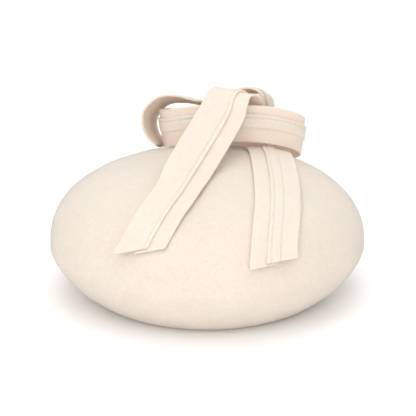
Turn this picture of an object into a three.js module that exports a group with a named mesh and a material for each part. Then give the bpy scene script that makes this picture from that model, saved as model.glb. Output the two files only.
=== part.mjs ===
// Pillbox hat of cream wool felt with a tied strap trim.
// Millimetres, +Z up. The origin is on the ground under the middle of the hat, whose front faces -Y.
import * as THREE from 'three';

// Crown: a blocked felt shell, full at the edge and turned in below to the head opening.
const crownHalfWidth = 125;
const crownHalfDepth = 127;
const crownHeight = 106.5;
const widestHeight = 38.5;
const topFullness = 2.42;
const underFullness = 1.4;
const rimHalfWidth = 86;
const rimHalfDepth = 93;
const rimLandWidth = 5;
const crownFelt = 2.5;
const crownSides = 60;
const crownTopSteps = 13;
const crownUnderSteps = 9;

// Strap: two strips of felt laid one on the other and set off sideways, so that each shows an edge.
const stripFelt = 1.9;
const stripWidth = 24;
const strapOffset = 12;
const strapSteps = 30;

// Ring band: a closed band of strap that stands on edge on the crown, behind the middle.
const ringCentreX = 20;
const ringCentreY = 66.5;
const ringInsideHalfWidth = 53;
const ringInsideHalfDepth = 30;
const ringOffset = 7;
const ringFlare = 0.15;
const ringLeanBack = 0.1;
const ringSideLift = 0.8;
const ringFrontLift = 6.5;
const ringRaisedTurn = -65;
const ringSteps = 44;

// Slant of the cut across each tail's end, in degrees off square.
const leftTailSlant = 24;
const rightTailSlant = 14;
const slantFadeLength = 45;

const degree = Math.PI / 180;

function felt(name, colour, roughness) {
  const material = new THREE.MeshStandardMaterial({ color: colour, roughness, metalness: 0 });
  material.name = name;
  return material;
}

// ---- Meshes from rows of points ------------------------------------------------------------------

// Joins rows of points into one closed skin. Seen along the rows' direction, each row runs
// anticlockwise. closeEnds adds the triangles that close the ends, and is null for a closed band.
function skin(rows, closeEnds) {
  const positions = rows.flat().flatMap((point) => [point.x, point.y, point.z]);
  const count = rows[0].length;
  const index = [];
  const bands = closeEnds ? rows.length - 1 : rows.length;
  for (let row = 0; row < bands; row += 1) {
    const next = (row + 1) % rows.length;
    for (let side = 0; side < count; side += 1) {
      const nextSide = (side + 1) % count;
      const here = row * count + side;
      const beside = row * count + nextSide;
      const after = next * count + side;
      const across = next * count + nextSide;
      index.push(here, after, across);
      index.push(here, across, beside);
    }
  }
  if (closeEnds) closeEnds(positions, index, count, rows.length);
  const geometry = new THREE.BufferGeometry();
  geometry.setAttribute('position', new THREE.Float32BufferAttribute(positions, 3));
  geometry.setIndex(index);
  geometry.computeVertexNormals();
  return geometry;
}

// Closes both ends of a skin with a fan to a point of its own.
function fanEnds(startPoint, endPoint) {
  return (positions, index, count, rowCount) => {
    const start = positions.length / 3;
    const lastRow = (rowCount - 1) * count;
    positions.push(startPoint.x, startPoint.y, startPoint.z);
    positions.push(endPoint.x, endPoint.y, endPoint.z);
    for (let side = 0; side < count; side += 1) {
      const nextSide = (side + 1) % count;
      index.push(start, side, nextSide);
      index.push(start + 1, lastRow + nextSide, lastRow + side);
    }
  };
}

// Closes both ends of a skin with the flat outline of its section.
function outlineEnds(outline) {
  const triangles = THREE.ShapeUtils.triangulateShape(outline, []);
  return (positions, index, count, rowCount) => {
    const lastRow = (rowCount - 1) * count;
    triangles.forEach(([a, b, c]) => {
      index.push(a, b, c);
      index.push(lastRow + a, lastRow + c, lastRow + b);
    });
  };
}

// ---- Crown ---------------------------------------------------------------------------------------

// A point of the crown's outside. Level runs from 0 at the top, through 1 at the widest line, to 2
// at the rim. Turn is the angle around the hat, anticlockwise from above.
function crownPoint(level, turn) {
  const isTop = level <= 1;
  const angle = (isTop ? level : level - 1) * Math.PI / 2;
  const power = 2 / (isTop ? topFullness : underFullness);
  const falling = Math.max(0, Math.cos(angle)) ** power;
  const rising = Math.sin(angle) ** power;
  const narrowing = isTop ? rising : falling;
  const innerHalfWidth = isTop ? 0 : rimHalfWidth;
  const innerHalfDepth = isTop ? 0 : rimHalfDepth;
  const halfWidth = innerHalfWidth + (crownHalfWidth - innerHalfWidth) * narrowing;
  const halfDepth = innerHalfDepth + (crownHalfDepth - innerHalfDepth) * narrowing;
  const topZ = widestHeight + (crownHeight - widestHeight) * falling;
  const z = isTop ? topZ : widestHeight * (1 - rising);
  return new THREE.Vector3(halfWidth * Math.cos(turn), halfDepth * Math.sin(turn), z);
}

// The outward direction of the crown at a level and a turn, square to two short steps on it.
function crownOutward(level, turn) {
  const step = 0.01;
  const low = Math.max(step, Math.min(level, 2 - step));
  const down = crownPoint(Math.min(low + step, 2), turn).sub(crownPoint(low - step, turn));
  const around = crownPoint(low, turn + step).sub(crownPoint(low, turn - step));
  return down.cross(around).normalize();
}

// The top of the crown over a place on the ground, and its outward direction there.
function crownTop(x, y) {
  const reach = Math.hypot(x / crownHalfWidth, y / crownHalfDepth);
  const rise = crownHeight - widestHeight;
  const left = 1 - reach ** topFullness;
  const fall = rise * reach ** (topFullness - 2) * left ** (1 / topFullness - 1);
  const point = new THREE.Vector3(x, y, widestHeight + rise * left ** (1 / topFullness));
  const outward = new THREE.Vector3(fall * x / crownHalfWidth ** 2, fall * y / crownHalfDepth ** 2, 1);
  return { point, outward: outward.normalize() };
}

function crownGeometry() {
  const levels = [];
  for (let step = 1; step <= crownTopSteps; step += 1) levels.push(step / crownTopSteps);
  for (let step = 1; step <= crownUnderSteps; step += 1) levels.push(1 + step / crownUnderSteps);
  const turns = Array.from({ length: crownSides }, (_, side) => side * 2 * Math.PI / crownSides);
  const outside = levels.map((level) => turns.map((turn) => crownPoint(level, turn)));
  const inside = levels.slice(0, -1).map((level) => turns.map((turn) => (
    crownPoint(level, turn).addScaledVector(crownOutward(level, turn), -crownFelt)
  )));
  const land = (inward, height) => turns.map((turn) => new THREE.Vector3(
    (rimHalfWidth - inward) * Math.cos(turn),
    (rimHalfDepth - inward) * Math.sin(turn),
    height,
  ));
  const rows = [
    ...outside,
    land(rimLandWidth, 0),
    land(rimLandWidth, crownFelt),
    land(0, crownFelt),
    ...inside.reverse(),
  ];
  const top = new THREE.Vector3(0, 0, crownHeight);
  const ceiling = new THREE.Vector3(0, 0, crownHeight - crownFelt);
  return skin(rows, fanEnds(top, ceiling));
}

// ---- Strap ---------------------------------------------------------------------------------------

// The section of the two strips: across the strap, and out from the side that it lies on. The strip
// underneath shows beyond the other on the right where the strap is right-handed, else on the left.
function strapSection(offset, isRightHanded) {
  const width = stripWidth + offset;
  const outline = [
    [offset, 0],
    [width, 0],
    [width, stripFelt],
    [stripWidth, stripFelt],
    [stripWidth, 2 * stripFelt],
    [0, 2 * stripFelt],
    [0, stripFelt],
    [offset, stripFelt],
  ];
  const handed = isRightHanded ? outline : outline.map(([u, n]) => [width - u, n]).reverse();
  return handed.map(([u, n]) => new THREE.Vector2(u, n));
}

// A direction across the strap: turned by yaw in plan, from +X, and lifted by bank.
function acrossDirection(yaw, bank) {
  return new THREE.Vector3(
    Math.cos(bank * degree) * Math.cos(yaw * degree),
    Math.cos(bank * degree) * Math.sin(yaw * degree),
    Math.sin(bank * degree),
  );
}

// A station of a strap that lies on the crown, lift above it.
function laid({ x, y, lift, yaw }) {
  const { point, outward } = crownTop(x, y);
  const across = acrossDirection(yaw, 0).projectOnPlane(outward).normalize();
  return { centre: point.addScaledVector(outward, lift), across };
}

// A station of a strap that stands free.
function free({ x, y, z, yaw, bank }) {
  return { centre: new THREE.Vector3(x, y, z), across: acrossDirection(yaw, bank) };
}

// Sweeps the strap's section along its stations. The line through the stations is at the part
// `line` of its width, from 0 at the left edge to 1 at the right edge. The first end is cut on a
// slant, in degrees off square.
function strapGeometry(stations, { section, line = 0.5, slant = 0 }) {
  const path = new THREE.CatmullRomCurve3(stations.map((station) => station.centre));
  const tips = stations.map(({ centre, across }) => centre.clone().add(across));
  const tipPath = new THREE.CatmullRomCurve3(tips);
  const width = Math.max(...section.map((corner) => corner.x));
  const length = path.getLength();
  const rows = [];
  for (let step = 0; step <= strapSteps; step += 1) {
    const share = path.getUtoTmapping(step / strapSteps);
    const centre = path.getPoint(share);
    const tangent = path.getTangent(share);
    const across = tipPath.getPoint(share).sub(centre).normalize();
    const out = across.clone().cross(tangent).normalize();
    const fromCut = step / strapSteps * length;
    const lean = Math.tan(slant * degree) * Math.max(0, 1 - fromCut / slantFadeLength);
    rows.push(section.map((corner) => {
      const side = corner.x - line * width;
      return centre.clone()
        .addScaledVector(across, side)
        .addScaledVector(tangent, side * lean)
        .addScaledVector(out, corner.y);
    }));
  }
  return skin(rows, outlineEnds(section));
}

// ---- Pieces --------------------------------------------------------------------------------------

// The left tail comes up from its cut end on the crown's left front, bridges to the ring's front
// wall, folds over its top edge and goes down inside it.
const leftTailOnCrown = [
  { x: -49, y: -110, lift: 2.2, yaw: -30 },
  { x: -34.5, y: -90, lift: 2, yaw: -32 },
  { x: -24, y: -71, lift: 3, yaw: -30 },
];
const leftTailAboveCrown = [
  { x: -15.5, y: -49, z: 109.5, yaw: -22, bank: -16 },
  { x: -7, y: -26, z: 118, yaw: -16, bank: -22 },
  { x: 3, y: -3, z: 129, yaw: -12, bank: -24 },
  { x: 12, y: 18, z: 139.5, yaw: -12, bank: -20 },
  { x: 16.5, y: 29, z: 147.5, yaw: -26, bank: -8 },
  { x: 21, y: 37.5, z: 150, yaw: -39, bank: 0 },
  { x: 26, y: 44.5, z: 146.5, yaw: -24, bank: 0 },
  { x: 27, y: 46.5, z: 136, yaw: -6, bank: 0 },
  { x: 27, y: 47, z: 121, yaw: 0, bank: 0 },
  { x: 27, y: 47, z: 110, yaw: 0, bank: 0 },
];

// The right tail comes up the crown's right front and goes in under the ring's front wall.
const rightTailOnCrown = [
  { x: 47, y: -114.5, lift: 2, yaw: -4 },
  { x: 50, y: -98, lift: 1.6, yaw: -3 },
  { x: 52.5, y: -76, lift: 1.2, yaw: -1 },
  { x: 53, y: -48, lift: 0.8, yaw: 0 },
  { x: 52.5, y: -18, lift: 0.8, yaw: 1 },
  { x: 51.5, y: 12, lift: 0.8, yaw: 2 },
  { x: 50, y: 36, lift: 0.8, yaw: 3 },
  { x: 49.5, y: 45, lift: 0.8, yaw: 3 },
];

// The bow loop rises inside the ring at the right, bends over, dips in the middle, stands out over
// the ring's left wall and comes down outside it. The stations follow its front edge.
const loopFrontEdge = [
  { x: 42, y: 55, z: 104, yaw: 72, bank: -22 },
  { x: 43, y: 55, z: 122, yaw: 72, bank: -22 },
  { x: 43, y: 55, z: 138, yaw: 72, bank: -22 },
  { x: 40.8, y: 55, z: 147, yaw: 72, bank: -22 },
  { x: 31, y: 55, z: 149.5, yaw: 72, bank: -22 },
  { x: 12, y: 55, z: 143, yaw: 72, bank: -22 },
  { x: -6, y: 55, z: 139, yaw: 72, bank: -23 },
  { x: -27, y: 55, z: 143.5, yaw: 72, bank: -25 },
  { x: -41, y: 55, z: 141.5, yaw: 72, bank: -24 },
  { x: -51, y: 55, z: 131, yaw: 70, bank: -23 },
  { x: -51.7, y: 55, z: 118, yaw: 68, bank: -19 },
  { x: -47, y: 55, z: 108.5, yaw: 68, bank: -16 },
  { x: -42, y: 55, z: 104.2, yaw: 74, bank: -14 },
];

function leftTailGeometry() {
  const stations = [...leftTailOnCrown.map(laid), ...leftTailAboveCrown.map(free)];
  return strapGeometry(stations, { section: strapSection(strapOffset, true), slant: leftTailSlant });
}

function rightTailGeometry() {
  const stations = rightTailOnCrown.map(laid);
  return strapGeometry(stations, { section: strapSection(strapOffset, false), slant: rightTailSlant });
}

function bowLoopGeometry() {
  return strapGeometry(loopFrontEdge.map(free), { section: strapSection(strapOffset, false), line: 0 });
}

// The ring's lower edge follows the crown, and is raised where the right tail passes under it.
function ringGeometry() {
  const section = strapSection(ringOffset, true);
  const rows = [];
  for (let step = 0; step < ringSteps; step += 1) {
    const turn = -step * 2 * Math.PI / ringSteps;
    const x = ringCentreX + ringInsideHalfWidth * Math.cos(turn);
    const y = ringCentreY + ringInsideHalfDepth * Math.sin(turn);
    const raisedShare = Math.max(0, Math.cos(turn - ringRaisedTurn * degree));
    const { point, outward } = crownTop(x, y);
    const foot = point.addScaledVector(outward, ringSideLift + ringFrontLift * raisedShare);
    const along = new THREE.Vector3(
      ringInsideHalfWidth * Math.sin(turn),
      -ringInsideHalfDepth * Math.cos(turn),
      0,
    ).normalize();
    const away = new THREE.Vector3(-along.y, along.x, 0);
    const up = new THREE.Vector3(0, ringLeanBack, 1).addScaledVector(away, ringFlare).normalize();
    const out = up.clone().cross(along).normalize();
    rows.push(section.map((corner) => (
      foot.clone().addScaledVector(up, corner.x).addScaledVector(out, corner.y)
    )));
  }
  return skin(rows, null);
}

const hat = new THREE.Group();
const pieces = [
  { name: 'felt_crown', geometry: crownGeometry(), material: felt('felt_body', 0xf6e8d8, 0.95) },
  { name: 'ring_band', geometry: ringGeometry(), material: felt('felt_strap', 0xf3e2ce, 0.93) },
  { name: 'bow_loop', geometry: bowLoopGeometry(), material: felt('felt_strap', 0xf3e2ce, 0.93) },
  { name: 'left_tail', geometry: leftTailGeometry(), material: felt('felt_strap', 0xf3e2ce, 0.93) },
  { name: 'right_tail', geometry: rightTailGeometry(), material: felt('felt_strap', 0xf3e2ce, 0.93) },
];
pieces.forEach(({ name, geometry, material }) => {
  const mesh = new THREE.Mesh(geometry, material);
  mesh.name = name;
  hat.add(mesh);
});

export default hat;
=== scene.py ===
import math

import bpy
import numpy as np
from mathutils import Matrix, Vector


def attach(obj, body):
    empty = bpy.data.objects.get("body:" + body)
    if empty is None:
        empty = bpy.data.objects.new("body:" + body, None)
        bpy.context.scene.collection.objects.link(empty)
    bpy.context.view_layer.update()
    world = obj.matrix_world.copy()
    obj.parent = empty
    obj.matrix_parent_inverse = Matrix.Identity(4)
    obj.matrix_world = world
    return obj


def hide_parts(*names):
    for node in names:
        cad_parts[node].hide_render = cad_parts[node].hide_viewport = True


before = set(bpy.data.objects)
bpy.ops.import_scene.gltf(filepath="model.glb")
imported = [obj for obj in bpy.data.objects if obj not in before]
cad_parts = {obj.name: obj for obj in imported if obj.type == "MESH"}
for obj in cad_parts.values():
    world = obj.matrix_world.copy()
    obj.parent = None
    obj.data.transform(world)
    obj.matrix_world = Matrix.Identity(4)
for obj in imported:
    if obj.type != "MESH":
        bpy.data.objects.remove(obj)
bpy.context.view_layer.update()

# ---- Where the hat stands -------------------------------------------------------------------------
# A plain white table in a white room whose two sides are darker. A wide panel stands low in front,
# a little to the left, and two weaker ones hang overhead.
TABLE_SIZE = 40.0
TABLE_COLOUR = (0.97, 0.97, 0.97, 1)
TABLE_ROUGHNESS = 0.9
CAMERA_AIM = Vector((0.0007, 0.0, 0.0663))
CAMERA_DISTANCE = 1.376
CAMERA_ELEVATION = math.radians(18)
CAMERA_LENS = 150
CAMERA_SENSOR = 36
CAMERA_REACH = 100
LIGHTS = [
    {"name": "front_panel", "place": (-0.30, -2.00, 0.50), "size": 1.2, "watts": 12},
    {"name": "near_panel", "place": (-0.10, -0.75, 1.80), "size": 1.6, "watts": 6},
    {"name": "far_panel", "place": (0.00, 0.70, 1.90), "size": 1.8, "watts": 6},
]
ROOM_BRIGHTNESS = 1.09
SIDE_FALLOFF = 0.60
LIGHT_AIM = Vector((0, 0, 0.06))

scene = bpy.context.scene
scene.view_settings.view_transform = "Standard"
scene.view_settings.look = "None"

toward_camera = Vector((0, -math.cos(CAMERA_ELEVATION), math.sin(CAMERA_ELEVATION)))
camera = bpy.data.objects.new("camera", bpy.data.cameras.new("camera"))
camera.data.lens = CAMERA_LENS
camera.data.sensor_width = CAMERA_SENSOR
camera.data.clip_end = CAMERA_REACH
camera.location = CAMERA_AIM + toward_camera * CAMERA_DISTANCE
camera.rotation_euler = toward_camera.to_track_quat("Z", "Y").to_euler()
scene.collection.objects.link(camera)
scene.camera = camera

for lamp in LIGHTS:
    panel = bpy.data.objects.new(lamp["name"], bpy.data.lights.new(lamp["name"], "AREA"))
    panel.data.shape = "SQUARE"
    panel.data.size = lamp["size"]
    panel.data.energy = lamp["watts"]
    panel.location = lamp["place"]
    panel.rotation_euler = (panel.location - LIGHT_AIM).to_track_quat("Z", "Y").to_euler()
    scene.collection.objects.link(panel)


class Wire:
    """One output of a shader node. Sums and products of wires add Math nodes."""

    def __init__(self, tree, socket=None):
        self.tree = tree
        self.socket = socket

    def node(self, kind, settings=None, sockets=None, output=0):
        """Adds a node: first its settings, then the values or wires of its sockets."""
        node = self.tree.nodes.new(kind)
        for name, value in (settings or {}).items():
            setattr(node, name, value)
        for name, value in (sockets or {}).items():
            if isinstance(value, Wire):
                self.tree.links.new(value.socket, node.inputs[name])
            else:
                node.inputs[name].default_value = value
        return Wire(self.tree, node.outputs[output])

    def maths(self, operation, first, second):
        return self.node("ShaderNodeMath", {"operation": operation}, {0: first, 1: second})

    def __add__(self, other):
        return self.maths("ADD", self, other)

    __radd__ = __add__

    def __mul__(self, other):
        return self.maths("MULTIPLY", self, other)

    __rmul__ = __mul__

    def __sub__(self, other):
        return self.maths("SUBTRACT", self, other)

    def __rsub__(self, other):
        return self.maths("SUBTRACT", other, self)

    def blend(self, low, high):
        """A colour between two colours or wires, by this wire, which counts only from 0 to 1."""
        low, high = (side if isinstance(side, Wire) else (*side, 1) for side in (low, high))
        sockets = {"Factor": self, 6: low, 7: high}
        return self.node("ShaderNodeMix", {"data_type": "RGBA"}, sockets, output=2)


world = bpy.data.worlds.new("studio")
world.use_nodes = True
sky = world.node_tree.nodes["Background"]
sky.inputs["Color"].default_value = (1, 1, 1, 1)
heading = Wire(world.node_tree).node("ShaderNodeTexCoord", output="Generated")
sideways = heading.node("ShaderNodeSeparateXYZ", {}, {"Vector": heading}, output="X")
room_light = ROOM_BRIGHTNESS - SIDE_FALLOFF * sideways * sideways
world.node_tree.links.new(room_light.socket, sky.inputs["Strength"])
scene.world = world

half_table = TABLE_SIZE / 2
table_corners = [(x * half_table, y * half_table, 0) for x, y in ((-1, -1), (1, -1), (1, 1), (-1, 1))]
table_mesh = bpy.data.meshes.new("table")
table_mesh.from_pydata(table_corners, [], [(0, 1, 2, 3)])
table = bpy.data.objects.new("table", table_mesh)
scene.collection.objects.link(table)
table_paint = bpy.data.materials.new("table_paint")
table_paint.use_nodes = True
table_shader = table_paint.node_tree.nodes["Principled BSDF"]
table_shader.inputs["Base Color"].default_value = TABLE_COLOUR
table_shader.inputs["Roughness"].default_value = TABLE_ROUGHNESS
table_mesh.materials.append(table_paint)

# ---- Crown ----------------------------------------------------------------------------------------
# The hat body is one cone of cream wool felt, steamed over a domed block with a full round edge,
# turned in below and ironed to a narrow land around the head opening. It is hollow inside.
MILLIMETRE = 0.001
CROWN = {
    "half_width": 125.0,
    "half_depth": 127.0,
    "height": 106.5,
    "widest_height": 38.5,
    "top_fullness": 2.42,
    "under_fullness": 1.4,
    "rim_half_width": 86.0,
    "rim_half_depth": 93.0,
    "land_width": 5.0,
    "felt": 2.5,
}
CROWN_SIDES = 240
CROWN_TOP_ROWS = 84
CROWN_UNDER_ROWS = 56
CROWN_TOP_REACH = 0.985
UNEVENNESS = 0.45
UNEVENNESS_INWARD = 0.6
LONG_SWELL = 95
SHORT_SWELL = 31
SHORT_SWELL_SHARE = 0.35
SETTLED_HEIGHT = 14
RIM_ROUNDING = 1.1
EDGE_ARC_POINTS = 7
BODY_COLOUR = (0.900, 0.795, 0.695)
BODY_SHADE = (0.825, 0.710, 0.600)
# Painted shade: the grey, darker colour that the body's felt turns to at a grazing angle, darkening its
# outline.
BODY_OUTLINE_PAINTED_SHADE = (0.48, 0.45, 0.43)


def crown_outside(level, turn):
    """Points of the crown's outside, in millimetres. Level is 0 at the top, 1 at the widest line
    and 2 at the rim."""
    top = level <= 1
    angle = np.where(top, level, level - 1) * math.pi / 2
    power = 2 / np.where(top, CROWN["top_fullness"], CROWN["under_fullness"])
    falling = np.clip(np.cos(angle), 0, 1) ** power
    rising = np.clip(np.sin(angle), 0, 1) ** power
    share = np.where(top, rising, falling)
    inner_width = np.where(top, 0, CROWN["rim_half_width"])
    inner_depth = np.where(top, 0, CROWN["rim_half_depth"])
    widest, height = CROWN["widest_height"], CROWN["height"]
    x = (inner_width + (CROWN["half_width"] - inner_width) * share) * np.cos(turn)
    y = (inner_depth + (CROWN["half_depth"] - inner_depth) * share) * np.sin(turn)
    z = np.where(top, widest + (height - widest) * falling, widest * (1 - rising))
    return np.stack([x, y, z], -1)


def crown_normals(level, turn):
    """Outward directions of the crown at levels and turns."""
    step = 0.004
    low = np.clip(level, step, 2 - step)
    down = crown_outside(low + step, turn) - crown_outside(low - step, turn)
    around = crown_outside(low, turn + step) - crown_outside(low, turn - step)
    normals = np.cross(down, around)
    return normals / np.linalg.norm(normals, axis=-1, keepdims=True)


def crown_top(x, y):
    """The top of the crown over places on the table, and its outward directions there."""
    fullness = CROWN["top_fullness"]
    rise = CROWN["height"] - CROWN["widest_height"]
    reach = np.hypot(x / CROWN["half_width"], y / CROWN["half_depth"])
    reach = np.clip(reach, 1e-6, CROWN_TOP_REACH)
    left = 1 - reach ** fullness
    z = CROWN["widest_height"] + rise * left ** (1 / fullness)
    fall = rise * reach ** (fullness - 2) * left ** (1 / fullness - 1)
    normal = np.stack([fall * x / CROWN["half_width"] ** 2, fall * y / CROWN["half_depth"] ** 2,
                       np.ones_like(x)], -1)
    return z, normal / np.linalg.norm(normal, axis=-1, keepdims=True)


def swell(points, wavelength):
    """A slow unevenness from -1 to 1 over the points, the same each time."""
    x, y, z = (points[..., axis] * 2 * math.pi / wavelength for axis in range(3))
    waves = np.sin(x + 0.7 * z + 0.4) * np.cos(1.3 * y - 0.5 * x + 1.1)
    return 0.6 * waves + 0.4 * np.sin(1.9 * y + 2.3 * z - 0.8) * np.cos(1.7 * x - 0.6 * y)


def mesh_object(name, points, faces):
    """A smooth-shaded object from points in millimetres and faces."""
    mesh = bpy.data.meshes.new(name)
    mesh.from_pydata((np.asarray(points) * MILLIMETRE).tolist(), [], faces)
    mesh.shade_smooth()
    mesh.validate()
    piece = bpy.data.objects.new(name, mesh)
    scene.collection.objects.link(piece)
    return piece


def band_faces(row_count, side_count, closed_along=False):
    """The faces between rows of points, each row closed around."""
    rows = np.arange(row_count if closed_along else row_count - 1)
    sides = np.arange(side_count)
    row, side = (grid.ravel() for grid in np.meshgrid(rows, sides, indexing="ij"))
    next_row = (row + 1) % row_count
    next_side = (side + 1) % side_count
    corners = [row * side_count + side, next_row * side_count + side,
               next_row * side_count + next_side, row * side_count + next_side]
    return np.stack(corners, -1).tolist()


crown_turns = np.arange(CROWN_SIDES) * 2 * math.pi / CROWN_SIDES
top_levels = (np.arange(CROWN_TOP_ROWS) + 1) / CROWN_TOP_ROWS
under_levels = 1 + (np.arange(CROWN_UNDER_ROWS) + 1) / CROWN_UNDER_ROWS
levels, turns = np.meshgrid(np.concatenate([top_levels, under_levels]), crown_turns, indexing="ij")
normals = crown_normals(levels, turns)
outside = crown_outside(levels, turns)
swells = swell(outside, LONG_SWELL) + SHORT_SWELL_SHARE * swell(outside, SHORT_SWELL)
settled = np.clip(outside[..., 2:] / SETTLED_HEIGHT, 0, 1)
outside = outside + normals * (swells[..., None] * UNEVENNESS - UNEVENNESS_INWARD * UNEVENNESS) * settled
inside = (crown_outside(levels, turns) - normals * CROWN["felt"])[:-2][::-1]


def rim_row(inward, height):
    """A row of the rim's land, inward from its outer edge and above the table."""
    return np.stack([(CROWN["rim_half_width"] - inward) * np.cos(crown_turns),
                     (CROWN["rim_half_depth"] - inward) * np.sin(crown_turns),
                     np.full_like(crown_turns, height)], -1)


land, felt = CROWN["land_width"], CROWN["felt"]
rounded_edge = [rim_row(land - RIM_ROUNDING * (1 - math.sin(a)), felt / 2 - felt / 2 * math.cos(a))
                for a in np.linspace(0, math.pi, EDGE_ARC_POINTS)]
crown_rows = [*outside, rim_row(land / 2, 0), *rounded_edge, rim_row(land / 2, felt), *inside]
crown_points = np.concatenate(crown_rows)
top_point = len(crown_points)
last_row = (len(crown_rows) - 1) * CROWN_SIDES
crown_points = np.concatenate([crown_points, [[0, 0, outside[0, 0, 2]]], [[0, 0, inside[-1, 0, 2]]]])
crown_faces = band_faces(len(crown_rows), CROWN_SIDES)
for side in range(CROWN_SIDES):
    next_side = (side + 1) % CROWN_SIDES
    crown_faces.append([top_point, side, next_side])
    crown_faces.append([top_point + 1, last_row + next_side, last_row + side])
crown = mesh_object("crown", crown_points, crown_faces)


# The felt's noises, with how much each one lightens the wool, and how high each one raises it, soft and
# pressed. Grain and matting have their scales in shares of the nap's own.
FELT_NOISES = {
    "clouding": {"scale": 26, "detail": 3, "roughness": 0.55, "distortion": 0.0, "lightens": 0.6},
    "mottle": {"scale": 330, "detail": 4, "roughness": 0.6, "distortion": 0.0, "lightens": 1.0},
    "grain": {"scale": 1.0, "detail": 5, "roughness": 0.72, "distortion": 0.6, "lightens": 1.8},
    "matting": {"scale": 0.32, "detail": 4, "roughness": 0.65, "distortion": 1.4, "lightens": 1.4},
}
FELT_RELIEF = {
    "grain": {"soft": 1.1, "pressed": 0.8},
    "matting": {"soft": 1.6, "pressed": 1.6},
    "mottle": {"soft": 1.0, "pressed": 0.6},
}
NAP_NOISES = ("grain", "matting")
WOOL_DARKNESS = 1.9
RELIEF_STRENGTH = 0.85
PRESSED_STRENGTH_LOSS = 0.2
RELIEF_DEPTH = 0.0008
GRAZING_BLEND = 0.35
GRAZING_SHARE = 0.75
FELT_ROUGHNESS = 0.86
MATTING_ROUGHNESS = 0.12
FELT_SHADER = {
    "Subsurface Weight": 0.5,
    "Subsurface Radius": (1.0, 0.55, 0.35),
    "Subsurface Scale": 0.0025,
    "Specular IOR Level": 0.15,
    "Sheen Weight": 0.10,
    "Sheen Roughness": 0.6,
}


def felt_material(name, colour, shade, outline_painted_shade, nap_scale, pressed):
    """Wool felt: matted fibres in a fine grain, slightly uneven in colour, with painted shade towards
    its outline, where it turns to another colour at a grazing angle. Pressed runs from 0, a soft open
    nap, to 1, ironed flat."""
    material = bpy.data.materials.new(name)
    material.use_nodes = True
    tree = material.node_tree
    base = Wire(tree)
    place = base.node("ShaderNodeTexCoord", output="Object")

    noises = {}
    for kind, row in FELT_NOISES.items():
        scale = row["scale"] * (nap_scale if kind in NAP_NOISES else 1)
        sockets = {"Vector": place, "Scale": scale, "Detail": row["detail"],
                   "Roughness": row["roughness"], "Distortion": row["distortion"]}
        noises[kind] = base.node("ShaderNodeTexNoise", {}, sockets, output="Fac")
    lightness = sum(row["lightens"] * noises[kind] for kind, row in FELT_NOISES.items()) - WOOL_DARKNESS
    height = sum(noises[kind] * (row["soft"] + (row["pressed"] - row["soft"]) * pressed)
                 for kind, row in FELT_RELIEF.items())
    strength = RELIEF_STRENGTH - PRESSED_STRENGTH_LOSS * pressed
    sockets = {"Strength": strength, "Distance": RELIEF_DEPTH, "Height": height}
    bump = base.node("ShaderNodeBump", {}, sockets)
    grazing = base.node("ShaderNodeLayerWeight", {}, {"Blend": GRAZING_BLEND}, output="Facing")
    wool = lightness.blend(shade, colour)
    # Painted shade: the colour turns towards the outline colour where the surface is seen at a grazing
    # angle.
    wool = (grazing * grazing * grazing * grazing * GRAZING_SHARE).blend(wool, outline_painted_shade)
    roughness = FELT_ROUGHNESS + MATTING_ROUGHNESS * noises["matting"]
    shader = tree.nodes["Principled BSDF"]
    tree.links.new(wool.socket, shader.inputs["Base Color"])
    tree.links.new(roughness.socket, shader.inputs["Roughness"])
    tree.links.new(bump.socket, shader.inputs["Normal"])
    for socket, value in FELT_SHADER.items():
        shader.inputs[socket].default_value = value
    return material


body_felt = felt_material("body_felt", BODY_COLOUR, BODY_SHADE, BODY_OUTLINE_PAINTED_SHADE, nap_scale=1250, pressed=0.0)
crown.data.materials.append(body_felt)
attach(crown, "root")
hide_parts("felt_crown")

# ---- Crown nap ------------------------------------------------------------------------------------
# The nap: short loose fibres that stand off the body all over and catch the light at its outline.
# Each is a thin bent ribbon, and they are one joined mesh.
CROWN_FIBRES = 42000
FIBRE_LENGTH = 1.9
FIBRE_SHORTEST = 0.35
FIBRE_LENGTH_POWER = 1.6
FIBRE_WIDTH = 0.08
FIBRE_TAPER = 0.6
FIBRE_RISE = 0.75
FIBRE_DROOP = 0.35
FIBRE_LEAN = 0.8
FIBRE_ROWS = 3
FIBRE_ROOT_DEPTH = 0.5
FIBRE_CROWDING = 0.62
FIBRE_SEED = 7
TABLE_CLEARANCE = 2


def nap_object(name, roots, normals, length, rng):
    """Fibres that rise from the roots, each bent to a side of its own."""
    count = len(roots)
    slack = rng.normal(size=(count, 3))
    lean = slack - (slack * normals).sum(-1, keepdims=True) * normals
    lean /= np.linalg.norm(lean, axis=-1, keepdims=True)
    across = np.cross(lean, normals)
    reach = length * rng.uniform(FIBRE_SHORTEST, 1.0, (count, 1)) ** FIBRE_LENGTH_POWER
    points = np.empty((count, FIBRE_ROWS, 2, 3))
    for row in range(FIBRE_ROWS):
        share = row / (FIBRE_ROWS - 1)
        rise = normals * reach * share * (FIBRE_RISE - FIBRE_DROOP * share)
        spine = roots + rise + lean * reach * share * FIBRE_LEAN
        half = across * FIBRE_WIDTH / 2 * (1 - FIBRE_TAPER * share)
        points[:, row, 0] = spine - half
        points[:, row, 1] = spine + half
    first = np.arange(count)[:, None, None] * FIBRE_ROWS * 2
    corners = np.array([[row * 2, row * 2 + 1, row * 2 + 3, row * 2 + 2]
                        for row in range(FIBRE_ROWS - 1)])
    return mesh_object(name, points.reshape(-1, 3), (first + corners).reshape(-1, 4).tolist())


rng = np.random.default_rng(FIBRE_SEED)
fibre_levels = 2 * rng.uniform(0, 1, CROWN_FIBRES) ** FIBRE_CROWDING
fibre_turns = rng.uniform(0, 2 * math.pi, CROWN_FIBRES)
fibre_normals = crown_normals(fibre_levels, fibre_turns)
fibre_roots = crown_outside(fibre_levels, fibre_turns) - fibre_normals * FIBRE_ROOT_DEPTH
clear = fibre_roots[:, 2] > TABLE_CLEARANCE
nap = nap_object("crown_nap", fibre_roots[clear], fibre_normals[clear], FIBRE_LENGTH, rng)
nap.data.materials.append(body_felt)
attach(nap, "root")

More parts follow.
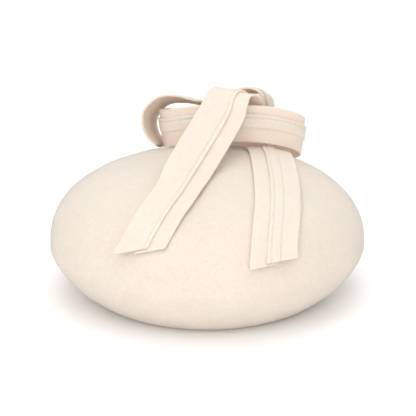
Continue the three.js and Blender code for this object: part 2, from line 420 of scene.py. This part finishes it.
# ---- Strap ----------------------------------------------------------------------------------------
# The trim is one strap: two strips of pressed felt, laid one on the other and set off sideways. Stitches
# near the top strip's inner edge pull a groove into it. It sinks a little past the under strip's hidden
# edge, and is cut a little shorter at a tail's end.
STRIP_FELT = 1.9
STRIP_WIDTH = 24.0
STRIP_GAP = 0.05
STRAP_OFFSET = 12.0
STRAP_OVERLAP = 9.5
EDGE_ROUNDING = 0.55
SINK_LEAD = 0.4
SINK_RUN = 1.7
SEAM_INSET = 3.2
SEAM_DEPTH = 1.25
SEAM_WIDTH = 0.75
SEAM_FACE_SHARE = 0.6
STITCH_PITCH = 3.4
STITCH_PULL = 0.35
END_SET_BACK = 1.7
STRIP_SAMPLES = 44
DRAPE_SHARE = 0.85
DRAPE_LIFT_SHARE = 0.6
DRAPE_LEAST_LIFT = 0.5
LONG_WAVE = 38
LONG_WAVE_DEPTH = 0.16
SHORT_WAVE = 13
SHORT_WAVE_DEPTH = 0.05
STRAP_COLOUR = (0.885, 0.790, 0.695)
STRAP_SHADE = (0.825, 0.715, 0.610)
# Painted shade: the warm tan that the strap's felt turns to at a grazing angle, darkening its edges, groove
# walls and outline.
STRAP_OUTLINE_PAINTED_SHADE = (0.72, 0.56, 0.42)
SLANT_FADE = 45.0

strap_felt = felt_material("strap_felt", STRAP_COLOUR, STRAP_SHADE, STRAP_OUTLINE_PAINTED_SHADE, nap_scale=1500,
                           pressed=0.7)


def smooth_path(points, samples_per_span=24):
    """A smooth curve through points, closely sampled (a centripetal Catmull-Rom curve)."""
    points = np.asarray(points, float)
    padded = np.concatenate([[2 * points[0] - points[1]], points, [2 * points[-1] - points[-2]]])
    spans = []
    for index in range(len(points) - 1):
        before, start, end, after = padded[index:index + 4]
        lengths = [max(np.linalg.norm(b - a), 1e-6) ** 0.5
                   for a, b in ((before, start), (start, end), (end, after))]
        first, span, last = lengths
        leaving = span * ((start - before) / first - (end - before) / (first + span) + (end - start) / span)
        arriving = span * ((end - start) / span - (after - start) / (span + last) + (after - end) / last)
        t = np.linspace(0, 1, samples_per_span, endpoint=index == len(points) - 2)[:, None]
        spans.append((2 * t**3 - 3 * t**2 + 1) * start + (t**3 - 2 * t**2 + t) * leaving
                     + (3 * t**2 - 2 * t**3) * end + (t**3 - t**2) * arriving)
    return np.concatenate(spans)


def unit(vectors):
    """The vectors at length 1."""
    return vectors / np.linalg.norm(vectors, axis=-1, keepdims=True)


def across_direction(yaw, bank):
    """A direction across the strap: turned by yaw in plan and lifted by bank, in degrees."""
    yaw, bank = math.radians(yaw), math.radians(bank)
    return np.array([math.cos(bank) * math.cos(yaw), math.cos(bank) * math.sin(yaw), math.sin(bank)])


def laid(x, y, lift, yaw):
    """A station of a strap that lies on the crown: its place, its direction across, and contact 1."""
    z, normal = crown_top(np.array([float(x)]), np.array([float(y)]))
    across = across_direction(yaw, 0)
    across = unit(across - across @ normal[0] * normal[0])
    return np.array([x, y, z[0]]) + normal[0] * lift, across, 1.0


def free(x, y, z, yaw, bank):
    """A station of a strap that stands free: its place, its direction across, and contact 0."""
    return np.array([x, y, z], float), across_direction(yaw, bank), 0.0


def strap_route(stations, count, slant=0.0):
    """Evenly spaced places, directions and crown contact along a strap through the stations."""
    centres = smooth_path([station[0] for station in stations])
    tips = smooth_path([station[0] + station[1] for station in stations])
    contact = smooth_path([[station[2], 0, 0] for station in stations])[:, 0]
    run = np.concatenate([[0], np.cumsum(np.linalg.norm(np.diff(centres, axis=0), axis=1))])
    even = np.linspace(0, run[-1], count)
    centre = np.stack([np.interp(even, run, centres[:, axis]) for axis in range(3)], -1)
    tip = np.stack([np.interp(even, run, tips[:, axis]) for axis in range(3)], -1)
    along = unit(np.gradient(centre, axis=0))
    across = unit(tip - centre)
    fade = np.clip(1 - even / SLANT_FADE, 0, 1)
    return {"centre": centre, "along": along, "across": across, "out": unit(np.cross(across, along)),
            "run": even, "lean": np.tan(math.radians(slant)) * fade, "length": run[-1],
            "contact": np.clip(np.interp(even, run, contact), 0, 1)}


def strip_section(low, high, sink):
    """The rounded outline of one strip: places across the strap and heights in the felt."""
    turn = np.linspace(-math.pi / 2, math.pi / 2, EDGE_ARC_POINTS)[1:-1]
    start, end = low + EDGE_ROUNDING, high - EDGE_ROUNDING
    half = STRIP_FELT / 2
    right_edge = [(end + EDGE_ROUNDING * math.cos(a), half + half * math.sin(a)) for a in turn]
    left_edge = [(start - EDGE_ROUNDING * math.cos(a), half - half * math.sin(a)) for a in turn]
    underside = [(u, 0.0) for u in np.linspace(start, end, STRIP_SAMPLES)]
    face = [(u, STRIP_FELT) for u, _ in underside[::-1]]
    outline = np.array([*underside, *right_edge, *face, *left_edge])
    outline[:, 1] += sink(outline[:, 0])
    return outline


def strap_outlines(offset, overlap, right_handed, sinking):
    """The outlines of the strip underneath and the top strip. The one underneath shows on the right
    of a right-handed strap, by the offset, and goes in under the other by the overlap."""
    width = STRIP_WIDTH + offset
    under = (STRIP_WIDTH - overlap, width) if right_handed else (0, offset + overlap)
    top = (0, STRIP_WIDTH) if right_handed else (offset, width)
    hidden_edge = under[0] if right_handed else under[1]
    side = -1 if right_handed else 1

    def sink(u):
        beyond = np.clip(((u - hidden_edge) * side + SINK_LEAD) / SINK_RUN, 0, 1)
        return STRIP_FELT + STRIP_GAP - sinking * beyond * beyond * (3 - 2 * beyond)

    return {"under": strip_section(*under, np.zeros_like), "top": strip_section(*top, sink)}


def seam_groove(outline, run, offset, right_handed):
    """How deep the row of stitches pulls in each point of the top strip, stitch by stitch."""
    seam = STRIP_WIDTH - SEAM_INSET if right_handed else offset + SEAM_INSET
    on_face = outline[:, 1] > outline[:, 1].max() - STRIP_FELT * SEAM_FACE_SHARE
    profile = np.exp(-((outline[:, 0] - seam) / SEAM_WIDTH) ** 2) * on_face
    stitches = 1 - STITCH_PULL + STITCH_PULL * np.cos(run * 2 * math.pi / STITCH_PITCH)
    return SEAM_DEPTH * stitches[:, None] * profile[None, :]


def strip_object(name, points, closed):
    """One strip from rows of its outline's points. A strip that isn't a closed band has its ends
    capped."""
    row_count, side_count = points.shape[:2]
    faces = [face[::-1] for face in band_faces(row_count, side_count, closed)]
    if not closed:
        last = (row_count - 1) * side_count
        end = list(range(side_count))
        faces.append(end[::-1])
        faces.append([last + side for side in end])
    strip = mesh_object(name, points.reshape(-1, 3), faces)
    strip.data.materials.append(strap_felt)
    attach(strip, "root")
    return strip


def strap_points(route, outline, line, width):
    """The rows of points of a strip along a route. Where the strap lies on the crown, it bends over
    it sideways too."""
    side = outline[:, 0] - line * width
    points = (route["centre"][:, None] + route["across"][:, None] * side[None, :, None]
              + route["along"][:, None] * (route["lean"][:, None] * side[None])[..., None]
              + route["out"][:, None] * outline[None, :, 1, None])
    surface, normal = crown_top(points[..., 0], points[..., 1])
    middle_surface, middle_normal = crown_top(route["centre"][:, 0], route["centre"][:, 1])
    lift = (route["centre"][:, 2] - middle_surface) * middle_normal[:, 2]
    gap = (points[..., 2] - surface) * normal[..., 2]
    wanted = np.maximum(lift[:, None] * DRAPE_LIFT_SHARE, DRAPE_LEAST_LIFT) + outline[None, :, 1]
    pull = (gap - wanted) * route["contact"][:, None] * DRAPE_SHARE
    return points - normal * pull[..., None]


def build_strap(name, node, stations, right_handed, line=0.5, slant=0.0, count=150,
                sinking=1.0):
    """Both strips of an open strap. Line is where the stations run across the strap, from 0 at one
    edge to 1 at the other."""
    width = STRIP_WIDTH + STRAP_OFFSET
    route = strap_route(stations, count, slant)
    for layer, outline in strap_outlines(STRAP_OFFSET, STRAP_OVERLAP, right_handed, sinking).items():
        points = strap_points(route, outline, line, width)
        wave = swell(points, LONG_WAVE) * LONG_WAVE_DEPTH + swell(points, SHORT_WAVE) * SHORT_WAVE_DEPTH
        if layer == "top":
            wave -= seam_groove(outline, route["run"], STRAP_OFFSET, right_handed)
        points = points + route["out"][:, None] * wave[..., None]
        if layer == "top" and slant:
            points = points[route["run"] > END_SET_BACK]
        strip = strip_object(f"{name}_{layer}_strip", points, closed=False)
        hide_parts(node)
        route["length"] * MILLIMETRE


# ---- Ring band ------------------------------------------------------------------------------------
# A closed band of the strap that stands on edge on the crown behind its middle, flared a little, and
# raised at the front where the right tail passes under it.
RING = {"centre_x": 20.0, "centre_y": 66.5, "half_width": 53.0, "half_depth": 30.0, "offset": 7.0}
RING_FLARE = 0.15
RING_LEAN_BACK = 0.1
RING_SIDE_LIFT = 0.8
RING_FRONT_LIFT = 6.5
RING_RAISED_TURN = math.radians(-65)
RING_OVERLAP = 11.0
RING_SINKING = 0.9
RING_WAVE = 41
RING_WAVE_DEPTH = 0.25
RING_STEPS = 300

ring_turns = -np.arange(RING_STEPS) * 2 * math.pi / RING_STEPS
ring_x = RING["centre_x"] + RING["half_width"] * np.cos(ring_turns)
ring_y = RING["centre_y"] + RING["half_depth"] * np.sin(ring_turns)
ring_z, ring_normal = crown_top(ring_x, ring_y)
raised_share = np.clip(np.cos(ring_turns - RING_RAISED_TURN), 0, 1)
ring_lift = RING_SIDE_LIFT + RING_FRONT_LIFT * raised_share
ring_foot = np.stack([ring_x, ring_y, ring_z], -1) + ring_normal * ring_lift[:, None]
ring_along = unit(np.stack([RING["half_width"] * np.sin(ring_turns),
                            -RING["half_depth"] * np.cos(ring_turns), np.zeros(RING_STEPS)], -1))
ring_away = np.stack([-ring_along[:, 1], ring_along[:, 0], np.zeros(RING_STEPS)], -1)
ring_up = unit(np.array([0, RING_LEAN_BACK, 1]) + ring_away * RING_FLARE)
ring_out = unit(np.cross(ring_up, ring_along))
ring_spans = np.linalg.norm(np.diff(ring_foot, axis=0, append=ring_foot[:1]), axis=1)
ring_run = np.cumsum(ring_spans)
ring_outlines = strap_outlines(RING["offset"], RING_OVERLAP, right_handed=True, sinking=RING_SINKING)
for layer, outline in ring_outlines.items():
    ring_points = (ring_foot[:, None] + ring_up[:, None] * outline[None, :, 0, None]
                   + ring_out[:, None] * outline[None, :, 1, None])
    ring_wave = swell(ring_points, RING_WAVE) * RING_WAVE_DEPTH
    if layer == "top":
        ring_wave -= seam_groove(outline, ring_run, RING["offset"], right_handed=True)
    ring_points += ring_out[:, None] * ring_wave[..., None]
    ring_strip = strip_object(f"ring_{layer}_strip", ring_points, closed=True)
    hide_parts("ring_band")

# ---- Bow loop -------------------------------------------------------------------------------------
# The strap rises inside the ring at the right, bends over, dips in the middle, stands out in a round
# loop over the ring's left wall and comes down outside it. The stations follow its front edge.
LOOP_FRONT_EDGE = [
    {"x": 42, "y": 55, "z": 104, "yaw": 72, "bank": -22},
    {"x": 43, "y": 55, "z": 122, "yaw": 72, "bank": -22},
    {"x": 43, "y": 55, "z": 138, "yaw": 72, "bank": -22},
    {"x": 40.8, "y": 55, "z": 147, "yaw": 72, "bank": -22},
    {"x": 31, "y": 55, "z": 149.5, "yaw": 72, "bank": -22},
    {"x": 12, "y": 55, "z": 143, "yaw": 72, "bank": -22},
    {"x": -6, "y": 55, "z": 139, "yaw": 72, "bank": -23},
    {"x": -27, "y": 55, "z": 143.5, "yaw": 72, "bank": -25},
    {"x": -41, "y": 55, "z": 141.5, "yaw": 72, "bank": -24},
    {"x": -51, "y": 55, "z": 131, "yaw": 70, "bank": -23},
    {"x": -51.7, "y": 55, "z": 118, "yaw": 68, "bank": -19},
    {"x": -47, "y": 55, "z": 108.5, "yaw": 68, "bank": -16},
    {"x": -41.5, "y": 55, "z": 103.4, "yaw": 74, "bank": -15},
]
build_strap("bow_loop", "bow_loop", [free(**row) for row in LOOP_FRONT_EDGE], right_handed=False,
            line=0.0, count=190, sinking=0.6)

# ---- Left tail ------------------------------------------------------------------------------------
# The strap's long end comes up from its slanted cut on the crown's left front, bridges to the ring's
# front wall, folds over its top edge and goes down inside it.
LEFT_TAIL_ON_CROWN = [
    {"x": -49, "y": -110, "lift": 2.2, "yaw": -30},
    {"x": -34.5, "y": -90, "lift": 2.0, "yaw": -32},
    {"x": -24, "y": -71, "lift": 3.0, "yaw": -30},
]
LEFT_TAIL_ABOVE_CROWN = [
    {"x": -15.5, "y": -49, "z": 109.5, "yaw": -22, "bank": -16},
    {"x": -7, "y": -26, "z": 118, "yaw": -16, "bank": -22},
    {"x": 3, "y": -3, "z": 129, "yaw": -12, "bank": -24},
    {"x": 12, "y": 18, "z": 139.5, "yaw": -12, "bank": -20},
    {"x": 16.5, "y": 29, "z": 147.5, "yaw": -26, "bank": -8},
    {"x": 21, "y": 37.5, "z": 150, "yaw": -39, "bank": 0},
    {"x": 26, "y": 44.5, "z": 146.5, "yaw": -24, "bank": 0},
    {"x": 27, "y": 46.5, "z": 136, "yaw": -6, "bank": 0},
    {"x": 27, "y": 47, "z": 121, "yaw": 0, "bank": 0},
    {"x": 27, "y": 47, "z": 110, "yaw": 0, "bank": 0},
]
LEFT_TAIL_SLANT = 24
left_tail_stations = [*(laid(**row) for row in LEFT_TAIL_ON_CROWN),
                      *(free(**row) for row in LEFT_TAIL_ABOVE_CROWN)]
build_strap("left_tail", "left_tail", left_tail_stations, right_handed=True,
            slant=LEFT_TAIL_SLANT, count=260, sinking=0.4)

# ---- Right tail -----------------------------------------------------------------------------------
# The strap's other end lies straight down the crown's right front, from under the ring's front wall to
# a slanted cut well above the crown's widest line.
RIGHT_TAIL_ON_CROWN = [
    {"x": 47, "y": -114.5, "lift": 2.0, "yaw": -4},
    {"x": 50, "y": -98, "lift": 1.6, "yaw": -3},
    {"x": 52.5, "y": -76, "lift": 1.2, "yaw": -1},
    {"x": 53, "y": -48, "lift": 0.8, "yaw": 0},
    {"x": 52.5, "y": -18, "lift": 0.8, "yaw": 1},
    {"x": 51.5, "y": 12, "lift": 0.8, "yaw": 2},
    {"x": 50, "y": 36, "lift": 0.8, "yaw": 3},
    {"x": 49.5, "y": 45, "lift": 0.8, "yaw": 3},
]
RIGHT_TAIL_SLANT = 14
build_strap("right_tail", "right_tail", [laid(**row) for row in RIGHT_TAIL_ON_CROWN],
            right_handed=False, slant=RIGHT_TAIL_SLANT, count=200)
